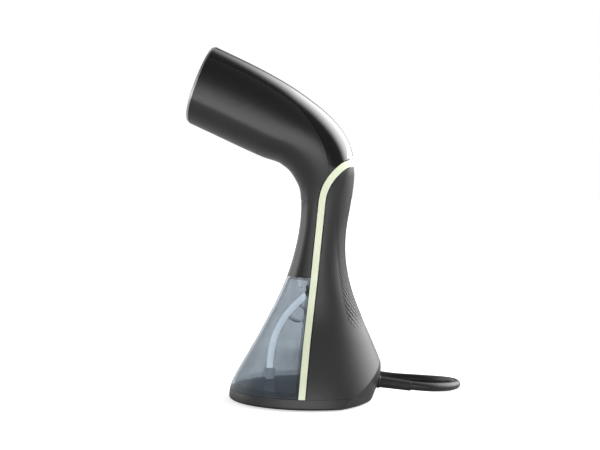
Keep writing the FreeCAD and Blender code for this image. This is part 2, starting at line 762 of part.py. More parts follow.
def pump_piston():
    place = FreeCAD.Placement(V(PUMP_X, 0, PUMP_LOW + 6.5), FreeCAD.Rotation())
    rules = {"Radius": "Sizes.pistonradius", "Height": "Sizes.pistonlength"}
    return keep(primitive("Cylinder", "pump_piston", rules, place), "pump_piston")


def tube_along(points, outer, bore):
    """Straight runs joined by the largest tangent arcs the runs allow, as one pipe."""
    edges, smallest = [], None
    last = points[0]
    for before, corner, after in zip(points, points[1:], points[2:]):
        arrive = (corner - before).normalize()
        leave = (after - corner).normalize()
        half_turn = arrive.getAngle(leave) / 2
        reach = 0.45 * min((corner - before).Length, (after - corner).Length)
        radius = reach / math.tan(half_turn)
        smallest = radius if smallest is None else min(smallest, radius)
        start, end = corner - arrive * reach, corner + leave * reach
        bisector = (leave - arrive).normalize()
        middle = corner + bisector * (radius / math.cos(half_turn) - radius)
        if (start - last).Length > 1e-6:
            edges.append(Part.makeLine(last, start))
        edges.append(Part.Arc(start, middle, end).toShape())
        last = end
    edges.append(Part.makeLine(last, points[-1]))
    spine = Part.Wire(edges)
    direction = (points[1] - points[0]).normalize()
    rings = [Part.Wire(Part.makeCircle(outer, points[0], direction))]
    tube = spine.makePipeShell(rings, True, False)
    expected = math.pi * outer ** 2 * spine.Length
    if bore:
        inner = spine.makePipeShell(
            [Part.Wire(Part.makeCircle(bore, points[0], direction))], True, False)
        tube = tube.cut(inner)
        expected -= math.pi * bore ** 2 * spine.Length
    print("  length %.1f smallest radius %.1f volume %.3f of expected" % (
        spine.Length, smallest, tube.Volume / expected))
    return tube


def steam_hose():
    """From the pump head up the neck, round the bend and forwards to the chamber."""
    low = V(PIVOT.x + HOSE_BEND, 0, PUMP_LOW + 43.3)
    spring_line = V(low.x, 0, PIVOT.z)
    bend_end = PIVOT + UPWARD * HOSE_BEND
    middle = PIVOT + V(math.cos(math.radians(BEND / 2)), 0, math.sin(math.radians(BEND / 2))) * HOSE_BEND
    edges = [
        Part.makeLine(low, spring_line),
        Part.Arc(spring_line, middle, bend_end).toShape(),
        Part.makeLine(bend_end, bend_end + FORWARD * HOSE_REACH),
    ]
    spine = Part.Wire(edges)
    outer = spine.makePipeShell(
        [Part.Wire(Part.makeCircle(SIZES["hoseradius"], low, V(0, 0, 1)))], True, False)
    bore = spine.makePipeShell(
        [Part.Wire(Part.makeCircle(SIZES["hosebore"], low, V(0, 0, 1)))], True, False)
    return shaped("steam_hose", outer.cut(bore))


HOSE_REACH = 38.5


def inlet_hose():
    """From the tank coupling up to the pump's inlet."""
    points = [V(12.8, 0, COUPLING.z), V(PUMP_X + 5.5, 0, COUPLING.z), V(PUMP_X + 5.5, 0, COUPLING.z + 8),
              V(PUMP_X, 0, PUMP_LOW - 5.5), V(PUMP_X, 0, PUMP_LOW + 2.9)]
    return shaped("inlet_hose", tube_along(points, SIZES["hoseradius"] - 0.3, SIZES["hosebore"]))


# ---------------------------------------------------------------- water tank
def water_tank():
    wall = SIZES["tankwall"]
    outer = BODY.cut(TANK_LIMIT).common(layer(FOOT_TOP + 0.35, TANK_TOP))
    inside = outer_form(wall).cut(behind_strip(-TANK_BACK - wall))
    inside = inside.common(layer(SIZES["tankfloor"], TANK_TOP - wall))
    tank = both(outer.cut(inside))
    tank = tank.cut(Part.makeCylinder(SIZES["capradius"] + 0.15, 60, CAP_AT, V(0, 1, 0)))
    tank = tank.cut(Part.makeCylinder(3.05, 12, V(0, 0, COUPLING.z), V(1, 0, 0)))
    tank = tank.cut(Part.makeCylinder(1.65, 12, V(VENT_X, 0, TANK_TOP - 8)))
    return shaped("water_tank", tank)


CAP_AT = V(-9.0, 0, 66.0)
VENT_X = -3.6
HOLLOW_SMALL = outer_form(WALL + 0.15)
BOARD_X = 22.0
BOARD_POST_Y = 13.0
BOARD_POST_Z = (28.0, 68.0)


def filler_plug():
    """Soft plug flush with the tank's far side, and its sealing skirt."""
    disc = BODY.cut(outer_form(SIZES["tankwall"]))
    disc = disc.common(Part.makeCylinder(SIZES["capradius"], 60, CAP_AT, V(0, 1, 0)))
    skirt = Part.makeCylinder(7.6, 26.0, CAP_AT + V(0, 12, 0), V(0, 1, 0))
    skirt = skirt.cut(Part.makeCylinder(6.0, 60.0, CAP_AT, V(0, 1, 0)))
    skirt = skirt.common(outer_form(SIZES["tankwall"] - 0.5)).common(
        Part.makeBox(60, 60, 60, V(-40, 18.0, 40)))
    return shaped("filler_plug", disc.fuse(skirt).removeSplitter())


def outlet_valve():
    """Elbow and spigot through the tank's rear wall."""
    flange = Part.makeCylinder(4.6, 1.4, V(COUPLING.x - 2.2, 0, COUPLING.z), V(1, 0, 0))
    spigot = Part.makeCylinder(3.0, 5.0, V(COUPLING.x - 1.5, 0, COUPLING.z), V(1, 0, 0))
    line = (SUCTION_ROUTE[1] - SUCTION_ROUTE[0]).normalize()
    nose = Part.makeCylinder(SIZES["suctionbore"], 5.0, SUCTION_ROUTE[0] - line * 1.5, line)
    joint = Part.makeSphere(2.6, SUCTION_ROUTE[0] - line * 1.2)
    joint = joint.common(Part.makeBox(20, 20, 20, V(COUPLING.x - 20.4, -10, COUPLING.z - 10)))
    joint = joint.cut(tube_along(SUCTION_ROUTE, SIZES["suctionradius"], 0))
    return shaped("outlet_valve", flange.fuse([spigot, nose, joint]).removeSplitter())


def coupling_socket():
    """Socket in the bulkhead that the tank's spigot pushes into."""
    back = COUPLING.x + 3.6
    ring = Part.makeCylinder(4.0, 5.0, V(back, 0, COUPLING.z), V(1, 0, 0))
    nipple = Part.makeCylinder(SIZES["hosebore"], 6.0, V(back + 4.5, 0, COUPLING.z), V(1, 0, 0))
    return shaped("coupling_socket", ring.fuse(nipple).removeSplitter())


def vent_nozzle():
    profile = [(0.0, -9.4), (1.3, -9.4), (1.9, -5.0), (2.7, -4.4), (2.7, -2.05), (1.6, -2.05),
               (1.6, -0.1), (0.0, -0.1)]
    return turned("vent_nozzle", profile, FreeCAD.Placement(V(VENT_X, 0, TANK_TOP), FreeCAD.Rotation()))


def suction_tube():
    return shaped("suction_tube", tube_along(
        SUCTION_ROUTE, SIZES["suctionradius"], SIZES["suctionbore"]))


def filter_weight():
    radius, height = SIZES["weightradius"], SIZES["weightheight"]
    profile = [(0.0, 0.0), (radius - 1.2, 0.0), (radius - 0.8, 1.6), (radius, 2.2),
               (radius, height - 1.4), (radius - 1.0, height), (0.0, height)]
    end = SUCTION_ROUTE[-1]
    return turned("filter_weight", profile, FreeCAD.Placement(end - V(0, 0, height), FreeCAD.Rotation()))


# ---------------------------------------------------------------- electronics
def control_board():
    corner = V(BOARD_X, -SIZES["boardwidth"] / 2, 23.0)
    board = primitive("Box", "control_board_plain", {
        "Length": "Sizes.boardthick", "Width": "Sizes.boardwidth",
        "Height": "Sizes.boardheight"}, FreeCAD.Placement(corner, FreeCAD.Rotation()))
    return keep(board, "control_board")


def board_parts():
    front = BOARD_X + SIZES["boardthick"]
    pieces = [
        Part.makeBox(9.0, 14.0, 15.0, V(front, -15.0, 31.0)),
        Part.makeBox(5.0, 9.0, 12.0, V(front, 1.4, 28.0)),
        Part.makeCylinder(4.0, 10.0, V(front, 9.0, 52.0), V(1, 0, 0)),
        Part.makeCylinder(3.0, 8.0, V(front, -1.0, 56.0), V(1, 0, 0)),
        Part.makeBox(7.0, 8.0, 5.5, V(front, -13.0, 59.5)),
    ]
    return shaped("board_parts", Part.makeCompound(pieces))


def board_screws():
    screws = []
    for y in (-BOARD_POST_Y, BOARD_POST_Y):
        for z in BOARD_POST_Z:
            head = Part.makeCylinder(2.2, 1.6, V(BOARD_X + SIZES["boardthick"], y, z), V(1, 0, 0))
            screws.append(head)
    return shaped("board_screws", Part.makeCompound(screws))


# ---------------------------------------------------------------- lead, hank and plug
RELIEF_LINE = (CORD_ROUTE[1] - CORD_ROUTE[0]).normalize()
RELIEF_START = V(52.0, 0, CORD_ROUTE[0].z - (52.0 - CORD_ROUTE[0].x) * RELIEF_LINE.z / -RELIEF_LINE.x)
RELIEF_NECK = 5.0


def strain_relief():
    """Tapered sleeve: an inner flange, a neck through the wall and a plain outer taper."""
    profile = [(CORD, 0.0), (6.2, 0.0), (6.2, 2.4), (RELIEF_NECK, 2.4), (RELIEF_NECK, 8.2),
               (4.4, 9.0), (3.95, 33.2), (3.75, 33.6), (CORD, 33.6)]
    return turned("strain_relief", profile, along(RELIEF_START, RELIEF_LINE))


def cord_clamp():
    """Saddle over the lead inside the housing."""
    saddle = Part.makeBox(8.0, 26.0, 6.0, V(38.0, -13.0, 12.6))
    lead = Part.makeCylinder(CORD, 30.0, RELIEF_START - RELIEF_LINE * 20.0, RELIEF_LINE)
    posts = Part.makeBox(8.0, 26.0, 4.0, V(38.0, -13.0, FOOT_TOP + 0.1)).cut(
        Part.makeBox(9.0, 14.0, 5.0, V(37.5, -7.0, FOOT_TOP)))
    return shaped("cord_clamp", saddle.fuse(posts).cut(lead).removeSplitter())


def inner_lead():
    start = RELIEF_START - RELIEF_LINE * 18.0
    return keep(primitive("Cylinder", "inner_lead", {
        "Radius": "Sizes.cordradius", "Height": "18"}, along(start, RELIEF_LINE)), "inner_lead")


def power_cord():
    return shaped("power_cord", tube_along(CORD_ROUTE, CORD, 0))


def hank_place(along_run, height):
    """A place in the hank's own frame: +Y runs along it, away from the steamer."""
    turn = FreeCAD.Rotation(V(0, 0, 1), HANK_TURN)
    return FreeCAD.Placement(
        HANK_MIDDLE + turn.multVec(V(0, along_run, 0)) + V(0, 0, height), turn)


def cord_hank():
    """Outer shape of the folded lead, lying on the floor."""
    to_fold = math.hypot(FOLD_AT - WAIST_LONG, WAIST_WIDE)
    slope = math.asin(FOLD_OUTER / to_fold) - math.atan2(WAIST_WIDE, FOLD_AT - WAIST_LONG)
    run = math.sqrt(to_fold ** 2 - FOLD_OUTER ** 2)
    side, end = WAIST_WIDE + run * math.sin(slope), WAIST_LONG + run * math.cos(slope)
    tip = FOLD_AT + FOLD_OUTER
    edges = []
    for way in (1, -1):
        edges += [
            Part.makeLine(V(way * WAIST_WIDE, -way * WAIST_LONG, 0), V(way * WAIST_WIDE, way * WAIST_LONG, 0)),
            Part.makeLine(V(way * WAIST_WIDE, way * WAIST_LONG, 0), V(way * side, way * end, 0)),
            Part.Arc(V(way * side, way * end, 0), V(0, way * tip, 0), V(-way * side, way * end, 0)).toShape(),
            Part.makeLine(V(-way * side, way * end, 0), V(-way * WAIST_WIDE, way * WAIST_LONG, 0)),
        ]
    solid = Part.Face(Part.Wire(edges)).extrude(V(0, 0, HANK_HIGH))
    item = shaped("cord_hank", solid)
    item.Placement = hank_place(0, 0)
    return item


def cord_tie():
    """Hook-and-loop strap round the waist of the hank."""
    half = WAIST_WIDE + TIE_THICK
    outer = Part.makeBox(2 * half, 12.0, HANK_HIGH + TIE_THICK, V(-half, -14.0, 0))
    inner = Part.makeBox(2 * WAIST_WIDE, 14.0, HANK_HIGH, V(-WAIST_WIDE, -15.0, 0))
    item = shaped("cord_tie", outer.cut(inner))
    item.Placement = hank_place(0, 0)
    return item


PLUG_HEIGHT = HANK_HIGH + SIZES["plugheight"] / 2
PLUG_AT = 6.0                # where the plug body begins, along the hank


def plug_place(start):
    """Along the hank's top, with the piece's own Z pointing along it."""
    return hank_place(start, PLUG_HEIGHT).multiply(along(V(0, 0, 0), V(0, 1, 0)))


def plug_body():
    """Two-blade plug body lying on the hank, with its tapered tail."""
    place = plug_place(PLUG_AT)
    half_w, half_h = SIZES["plugwidth"] / 2, SIZES["plugheight"] / 2
    outline = [(-half_w, -half_h), (half_w, -half_h), (half_w, half_h), (-half_w, half_h)]
    body = doc.addObject("PartDesign::Body", "plug_body")
    sketch = sketch_on(body, "XY_Plane", outline)
    pad = body.newObject("PartDesign::Pad", "plug_pad")
    pad.Profile = sketch
    pad.setExpression("Length", "Sizes.pluglength")
    body.Tip = pad
    doc.recompute()
    edges = ["Edge%d" % number for number in range(1, len(pad.Shape.Edges) + 1)]
    fillet = body.newObject("PartDesign::Fillet", "plug_fillet")
    fillet.Base = (pad, edges)
    fillet.Radius = 3.0
    body.Tip = fillet
    body.Placement = place
    return keep(body, "plug_body")


def plug_tail():
    profile = [(0.0, 0.0), (3.9, 0.0), (6.0, 17.0), (6.0, 20.0), (0.0, 20.0)]
    return turned("plug_tail", profile, plug_place(PLUG_AT - 20.0))


def plug_blades():
    blades = []
    for number, side in enumerate((-6.35, 6.35)):
        corner = V(side - SIZES["bladethick"] / 2, 0, -SIZES["bladewidth"] / 2)
        start = hank_place(PLUG_AT + SIZES["pluglength"], PLUG_HEIGHT)
        blades.append(primitive("Box", "plug_blade_%d" % number, {
            "Length": "Sizes.bladethick", "Width": "Sizes.bladelength",
            "Height": "Sizes.bladewidth"},
            start.multiply(FreeCAD.Placement(corner, FreeCAD.Rotation()))))
    group = doc.addObject("Part::Compound", "plug_blades")
    group.Links = blades
    return keep(group, "plug_blades")


# ---------------------------------------------------------------- build
print("foot")
foot_tray()
base_plate()
rubber_feet()
base_screws()
print("housing")
grip_cover()
trim_strip()
top_cover()
side_shells()
neck_floor()
bulkhead()
print("trigger")
trigger()
trigger_pin()
coil_spring("trigger_spring", 2.7, 0.45, 1.1, 6.6, along(PIN - V(0, 3.3, 0), V(0, 1, 0)))
microswitch()
switch_lever()
power_button()
indicator_ring()
button_switch()
coil_spring("button_spring", 3.0, 0.3, 1.6, 5.4, along(V(25.6, 0, BUTTON_BASE + 4.4), V(1, 0, 0)))
print("head")
steam_plate()
plate_seal()
heater_block()
chamber_lid()
lid_screws()
heater_terminals()
thermostat()
thermal_fuse()
print("pump")
pump_body()
pump_coil()
pump_head()
pump_piston()
steam_hose()
inlet_hose()
print("tank")
water_tank()
filler_plug()
outlet_valve()
coupling_socket()
vent_nozzle()
suction_tube()
filter_weight()
print("electronics and lead")
control_board()
board_parts()
board_screws()
strain_relief()
cord_clamp()
inner_lead()
power_cord()
cord_hank()
cord_tie()
plug_body()
plug_tail()
plug_blades()

doc.recompute()
for item in doc.Objects:
    if "Invalid" in item.State or "Error" in item.State:
        raise RuntimeError("%s is %s" % (item.Label, item.State))
for item in nodes:
    shape = item.Shape
    if shape.isNull() or not shape.isValid() or shape.Volume < 0.5:
        raise RuntimeError("bad shape in %s" % item.Label)
    shape.exportStep("parts/%s.step" % item.Label)
    box = shape.BoundBox
    print("%-18s solids %d  volume %9.1f  X %7.2f %7.2f  Y %7.2f %7.2f  Z %7.2f %7.2f" % (
        item.Label, len(shape.Solids), shape.Volume,
        box.XMin, box.XMax, box.YMin, box.YMax, box.ZMin, box.ZMax))
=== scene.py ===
"""Handheld garment steamer with a smoked water tank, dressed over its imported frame.

Metres, +Z up. The steam head faces -X, the mains lead leaves towards +X and the
housing is symmetric about Y = 0.
"""
import json
import math

import bmesh
import bpy
from mathutils import Matrix, Vector
from mathutils.bvhtree import BVHTree


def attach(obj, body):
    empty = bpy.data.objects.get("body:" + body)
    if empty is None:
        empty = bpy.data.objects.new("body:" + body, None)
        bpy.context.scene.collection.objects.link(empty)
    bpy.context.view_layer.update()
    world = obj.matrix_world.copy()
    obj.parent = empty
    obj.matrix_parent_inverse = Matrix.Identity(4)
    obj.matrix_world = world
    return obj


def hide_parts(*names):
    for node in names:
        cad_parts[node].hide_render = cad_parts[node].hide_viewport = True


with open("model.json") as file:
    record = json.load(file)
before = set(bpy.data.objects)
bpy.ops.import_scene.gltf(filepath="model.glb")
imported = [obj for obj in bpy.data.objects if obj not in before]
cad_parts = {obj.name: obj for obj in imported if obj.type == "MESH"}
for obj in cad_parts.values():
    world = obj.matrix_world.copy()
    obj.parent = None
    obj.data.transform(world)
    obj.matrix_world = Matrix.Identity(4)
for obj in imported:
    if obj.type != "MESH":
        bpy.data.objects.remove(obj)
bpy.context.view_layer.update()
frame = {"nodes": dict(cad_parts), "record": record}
cad = frame["nodes"]
scene = bpy.context.scene
MM = 0.001


# ---------------------------------------------------------------- studio
CAMERA_PLACE = (0.13917, -0.99027, 0.200)
CAMERA_TARGET = (-0.004, 0.0, 0.1395)
FOCAL_LENGTH = 75.12         # in mm, like the sensor
SENSOR_WIDTH = 36.0
AMBIENT = 0.12               # the white surround where no glow reaches
FLOOR_DROP = 0.1 * MM        # keeps the paper clear of the rubber feet


def put(item, place, target):
    """Link a lamp or the camera and turn it towards a target."""
    item.location = place
    item.rotation_euler = (Vector(target) - Vector(place)).to_track_quat("-Z", "Y").to_euler()
    scene.collection.objects.link(item)


def set_camera():
    """The camera, a metre in front and a little to the right."""
    lens = bpy.data.cameras.new("camera")
    lens.lens = FOCAL_LENGTH
    lens.sensor_width = SENSOR_WIDTH
    camera = bpy.data.objects.new("camera", lens)
    put(camera, CAMERA_PLACE, CAMERA_TARGET)
    scene.camera = camera


def softbox(name, place, target, width, height, watts):
    """A rectangular lamp, its sizes in metres."""
    lamp = bpy.data.lights.new(name, "AREA")
    lamp.shape = "RECTANGLE"
    lamp.size = width
    lamp.size_y = height
    lamp.energy = watts
    put(bpy.data.objects.new(name, lamp), place, target)


# ---------------------------------------------------------------- materials
def linear(code, alpha=1.0):
    """An sRGB hex colour as linear values."""
    parts = [int(code[k:k + 2], 16) / 255 for k in (1, 3, 5)]
    return [c / 12.92 if c <= 0.04045 else ((c + 0.055) / 1.055) ** 2.4 for c in parts] + [alpha]


def shade(base, amount):
    """A darker or lighter tone of a linear colour."""
    return [min(1.0, c * amount) for c in base[:3]] + [1.0]


def grey(value):
    """A neutral tone, or one value for each channel of a ramp."""
    return (value, value, value, 1.0)


def node(tree, kind, inputs=None, **settings):
    """Add a node with its settings, and its sockets' values or links."""
    made = tree.nodes.new("ShaderNode" + kind)
    for name, value in settings.items():
        setattr(made, name, value)
    for name, value in (inputs or {}).items():
        if isinstance(value, bpy.types.NodeSocket):
            tree.links.new(value, made.inputs[name])
        else:
            made.inputs[name].default_value = value
    return made


def material(name):
    """An empty material: its tree and its place in the object's own metres."""
    made = bpy.data.materials.new(name)
    made.use_nodes = True
    made.node_tree.nodes.clear()
    where = node(made.node_tree, "TexCoord").outputs["Object"]
    return made, made.node_tree, where


def ramp(tree, factor, low, high, start=0.0, end=1.0):
    """Two colours or greys blended over a stretch of a pattern."""
    made = node(tree, "ValToRGB", {"Fac": factor})
    made.color_ramp.elements[0].position = start
    made.color_ramp.elements[1].position = end
    made.color_ramp.elements[0].color = low
    made.color_ramp.elements[1].color = high
    return made.outputs["Color"]


def finish_with(tree, shader):
    """Join the last shader to the material's surface."""
    node(tree, "OutputMaterial", {"Surface": shader.outputs[0]})


def moulded_plastic(name, colour, roughness, grain, depth, ior=1.53, coat=0.0):
    """Injection-moulded plastic. grain is the mould's texture size and depth its height, in mm.

    Flow marks 18 mm wide shift the tone a little; the fine texture breaks the gloss.
    """
    made, tree, where = material(name)
    flow = node(tree, "TexNoise", {"Vector": where, "Scale": 1 / (18 * MM), "Detail": 3.0})
    grit = node(tree, "TexNoise", {"Vector": where, "Scale": 1 / (grain * MM), "Detail": 2.0})
    base = linear(colour)
    tone = ramp(tree, flow.outputs["Fac"], shade(base, 0.94), shade(base, 1.06), 0.3, 0.7)
    gloss = ramp(tree, grit.outputs["Fac"], grey(roughness * 0.9), grey(roughness * 1.12), 0.3, 0.7)
    relief = node(tree, "Bump", {"Height": grit.outputs["Fac"], "Distance": depth * MM, "Strength": 1.0})
    finish_with(tree, node(tree, "BsdfPrincipled", {
        "Base Color": tone, "Roughness": gloss, "Normal": relief.outputs["Normal"], "IOR": ior,
        "Coat Weight": coat, "Coat Roughness": 0.04}))
    return made


def bare_metal(name, colour, roughness, scratch, stretch, depth, spread=0.06):
    """Metal with a brushed, cast or plated skin, which spreads its highlights.

    scratch is the size of a mark in mm, and stretch draws the marks out into lines along
    the axis with the small number. They are coarser than real ones, so that they show.
    """
    made, tree, where = material(name)
    drawn = node(tree, "Mapping", {"Vector": where, "Scale": stretch})
    lines = node(tree, "TexNoise", {"Vector": drawn.outputs["Vector"], "Scale": 1 / (scratch * MM),
                                    "Detail": 3.0})
    base = linear(colour)
    tone = ramp(tree, lines.outputs["Fac"], shade(base, 0.86), base, 0.35, 0.65)
    gloss = ramp(tree, lines.outputs["Fac"], grey(roughness - spread), grey(roughness + spread), 0.3, 0.7)
    relief = node(tree, "Bump", {"Height": lines.outputs["Fac"], "Distance": depth * MM})
    finish_with(tree, node(tree, "BsdfPrincipled", {
        "Base Color": tone, "Metallic": 1.0, "Roughness": gloss, "Normal": relief.outputs["Normal"]}))
    return made


def soft_rubber(name, colour, roughness, grain, depth, through=0.0, painted_glow=0.0):
    """Rubber, silicone or flexible PVC: a broad dull sheen, and light under a pale skin.

    grain is the size of its fine dusty mottle and depth the height of it, in mm. through is
    how much light goes under the skin, and passed is a painted glow: an emission in the
    base colour that stands in for light coming through a milky wall from behind.
    """
    made, tree, where = material(name)
    dust = node(tree, "TexNoise", {"Vector": where, "Scale": 1 / (grain * MM), "Detail": 4.0,
                                   "Roughness": 0.6})
    base = linear(colour)
    tone = ramp(tree, dust.outputs["Fac"], shade(base, 0.88), shade(base, 1.12), 0.3, 0.7)
    relief = node(tree, "Bump", {"Height": dust.outputs["Fac"], "Distance": depth * MM})
    # The emission is a painted glow, not a lamp: it stands in for light passing through the part from
    # behind.
    finish_with(tree, node(tree, "BsdfPrincipled", {
        "Base Color": tone, "Roughness": roughness, "IOR": 1.5, "Normal": relief.outputs["Normal"],
        "Subsurface Weight": through, "Subsurface Scale": 1.5 * MM,
        "Emission Color": base, "Emission Strength": painted_glow}))
    return made


def smoked_clear(name):
    """Clear smoked plastic: the tank's polished SAN, and the silicone of its filler plug.

    Each skin lets about two thirds of the light through with a blue grey cast, turns into
    a soft mirror where it is seen edge on and waves a little where the melt ran.
    """
    made, tree, where = material(name)
    drag = node(tree, "Mapping", {"Vector": where, "Scale": (1.0, 1.0, 0.12)})
    wave = node(tree, "TexNoise", {"Vector": drag.outputs["Vector"], "Scale": 1 / (9 * MM), "Detail": 1.0})
    tint = ramp(tree, wave.outputs["Fac"], linear("#d5d9dc"), linear("#dbdee1"), 0.3, 0.7)
    relief = node(tree, "Bump", {"Height": wave.outputs["Fac"], "Distance": 0.01 * MM})
    clear = node(tree, "BsdfTransparent", {"Color": tint})
    skin = node(tree, "BsdfPrincipled", {
        "Base Color": linear("#9aa4ad"), "Roughness": 0.16, "IOR": 1.57,
        "Normal": relief.outputs["Normal"]})
    glance = node(tree, "LayerWeight", {"Blend": 0.5, "Normal": relief.outputs["Normal"]})
    steep = node(tree, "Math", {0: glance.outputs["Facing"], 1: 4.0}, operation="POWER")
    share = node(tree, "MapRange", {"Value": steep.outputs["Value"],
                                    "To Min": 0.08, "To Max": 0.9})     # head on, edge on
    finish_with(tree, node(tree, "MixShader", {0: share.outputs["Result"], 1: clear.outputs[0],
                                              2: skin.outputs[0]}))
    return made


def wound_copper(name):
    """Enamelled winding wire in level turns round the pump's axis.

    Its turns are 1.2 mm apart, coarser than real 0.3 mm wire, so that they show.
    """
    made, tree, where = material(name)
    wave = math.tau / 20         # length of one wave at a scale of 1
    turns = node(tree, "TexWave", {"Vector": where, "Scale": wave / (1.184 * MM), "Distortion": 0.2},
                 wave_type="BANDS", bands_direction="Z")
    tone = ramp(tree, turns.outputs["Fac"], linear("#6b2f16"), linear("#b5602f"))
    relief = node(tree, "Bump", {"Height": turns.outputs["Fac"], "Distance": 0.12 * MM})
    finish_with(tree, node(tree, "BsdfPrincipled", {
        "Base Color": tone, "Metallic": 1.0, "Roughness": 0.32, "Coat Weight": 0.4,
        "Normal": relief.outputs["Normal"]}))
    return made


def glass_epoxy(name):
    """Green solder mask on woven glass epoxy.

    A shiny skin over copper tracks 12 mm apart and a faint 0.6 mm weave.
    """
    made, tree, where = material(name)
    tracks = node(tree, "TexBrick", {
        "Vector": where, "Scale": 1 / (12 * MM), "Color1": linear("#0f4a2a"),
        "Color2": linear("#0c3f25"), "Mortar": linear("#1c7040"), "Mortar Size": 0.04})
    weave = node(tree, "TexNoise", {"Vector": where, "Scale": 1 / (0.6 * MM)})
    relief = node(tree, "Bump", {"Height": weave.outputs["Fac"], "Distance": 0.03 * MM})
    finish_with(tree, node(tree, "BsdfPrincipled", {
        "Base Color": tracks.outputs["Color"], "Roughness": 0.28, "IOR": 1.55,
        "Normal": relief.outputs["Normal"]}))
    return made


def seamless_paper(name):
    """Pale matt background paper, lit up to white.

    It throws less light back at the steamer than it shows, so that the black stays black.
    """
    made, tree, where = material(name)
    fibre = node(tree, "TexNoise", {"Vector": where, "Scale": 1 / (3 * MM), "Detail": 3.0})
    tone = ramp(tree, fibre.outputs["Fac"], linear("#f4f4f4"), linear("#fafafa"), 0.3, 0.7)
    paper = node(tree, "BsdfPrincipled", {
        "Base Color": tone, "Roughness": 0.9, "Specular IOR Level": 0.1,
        "Emission Color": grey(1.0), "Emission Strength": 0.55})
    shade = node(tree, "BsdfDiffuse", {"Color": linear("#c8c8c8")})
    path = node(tree, "LightPath")
    finish_with(tree, node(tree, "MixShader", {0: path.outputs["Is Camera Ray"], 1: shade.outputs[0],
                                              2: paper.outputs[0]}))
    return made


def glow(tree, way, toward, edge, middle, strength):
    """A soft round source in the surround, its edge and full middle in degrees from its centre."""
    facing = node(tree, "VectorMath", {0: way, 1: Vector(toward).normalized()},
                  operation="DOT_PRODUCT").outputs["Value"]
    return node(tree, "MapRange", {"Value": facing, "From Min": math.cos(math.radians(edge)),
                                   "From Max": math.cos(math.radians(middle)), "To Max": strength},
                interpolation_type="SMOOTHSTEP").outputs["Result"]


def light_the_studio():
    """A white surround, brightest above and behind to the right, and three soft boxes."""
    softbox("left_side", (-1.35, 0.15, 0.35), target=(0.0, 0.0, 0.12), width=0.4, height=0.9, watts=3.5)
    softbox("front_fill", (0.1, -1.8, 0.18), target=(0.0, 0.0, 0.16), width=1.9, height=1.1, watts=24)
    softbox("front_left", (-1.0, -1.4, 0.20), target=(0.0, 0.0, 0.10), width=1.2, height=0.6, watts=5)
    world = bpy.data.worlds.new("white_room")
    world.use_nodes = True
    tree = world.node_tree
    tree.nodes.clear()
    way = node(tree, "TexCoord").outputs["Generated"]
    key = glow(tree, way, toward=(0.76, 0.50, 0.41), edge=50, middle=4, strength=6.0)
    rim = glow(tree, way, toward=(-0.75, 0.6, 0.3), edge=50, middle=10, strength=1.4)
    glows = node(tree, "Math", {0: key, 1: rim}, operation="ADD").outputs["Value"]
    total = node(tree, "Math", {0: glows, 1: AMBIENT}, operation="ADD").outputs["Value"]
    path = node(tree, "LightPath")
    seen = node(tree, "Background", {"Color": grey(1.0), "Strength": 1.0})
    around = node(tree, "Background", {"Color": grey(1.0), "Strength": total})
    both = node(tree, "MixShader", {0: path.outputs["Is Camera Ray"], 1: around.outputs[0],
                                    2: seen.outputs[0]})
    node(tree, "OutputWorld", {"Surface": both.outputs[0]})
    scene.world = world
    scene.view_settings.view_transform = "Standard"


def paper_floor():
    """The sheet of background paper that the steamer stands on."""
    mesh = bpy.data.meshes.new("paper_floor")
    shape = bmesh.new()
    bmesh.ops.create_grid(shape, x_segments=8, y_segments=8, size=4.0)
    shape.to_mesh(mesh)
    shape.free()
    mesh.materials.append(seamless_paper("seamless_paper"))
    floor = bpy.data.objects.new("paper_floor", mesh)
    scene.collection.objects.link(floor)
    floor.location.z = -FLOOR_DROP


# ---------------------------------------------------------------- cords
def spline_cord(name, points, radius, finish):
    """A round cord whose line is a smooth NURBS spline through its route."""
    curve = bpy.data.curves.new(name, "CURVE")
    curve.dimensions = "3D"
    line = curve.splines.new("NURBS")
    line.points.add(len(points) - 1)
    for spot, place in zip(line.points, points):
        spot.co = (*place, 1.0)
    line.order_u = 3
    line.use_endpoint_u = True
    line.resolution_u = 8
    curve.bevel_depth = radius
    curve.bevel_resolution = 5
    curve.use_fill_caps = True
    curve.materials.append(finish)
    made = bpy.data.objects.new(name, curve)
    scene.collection.objects.link(made)
    return made


LEAD_RADIUS = 3.5 * MM
LEAD_OUT = [                 # out of the strain relief and round behind the base
    (0.0600, 0.0000, 0.0145), (0.0940, 0.0000, 0.0109), (0.1145, 0.0149, 0.0089),
    (0.1223, 0.0390, 0.0070), (0.1145, 0.0631, 0.0052), (0.0940, 0.0780, 0.0035),
    (0.0654, 0.0830, 0.0035), (0.0430, 0.0985, 0.0035),
]
HANK_MIDDLE = Vector((0.0050, 0.1846, 0.0))
HANK_TURN = math.radians(7.9)
HANK_TURNS = 4
TURN_START = (-0.0492, 0.0224)                               # along the hank and to its right
WAIST = ((-0.031, 0.0110), (-0.014, 0.0037), (0.014, 0.0037), (0.031, 0.0110))
FOLD_AT = 0.0565             # centre of an end loop from the hank's middle
FOLD = 0.0236                # corner reach of an end loop of 21 mm radius
FOLD_STEP = math.radians(54)
PLUG_HEIGHT = 0.0365         # middle of the plug body above the floor
TO_PLUG = [                  # off the top turn and up into the plug: along, side, height
    (-0.0492, 0.0224, 0.0315), (-0.037, 0.0120, 0.0315), (-0.026, 0.0030, 0.0330),
    (-0.018, 0.0004, 0.0352), (-0.008, 0.0, 0.0365),
]
HOSE_RADIUS = 2.5 * MM
HOSE_ROUTE = [(0.0013, 0, 0.08325), (-0.0069, 0, 0.0770), (-0.0192, 0, 0.0619), (-0.0276, 0, 0.0430),
              (-0.0288, 0, 0.0240)]
RIBS = 5                     # on each flank of the plug
RIB_PITCH = 3.6 * MM
FIRST_RIB = 12 * MM          # along the plug from the hank's middle
FLANK = 12.6 * MM            # the plug's flank from its middle
RIB_SIZE = (1.6 * MM, 1.6 * MM, 8.5 * MM)


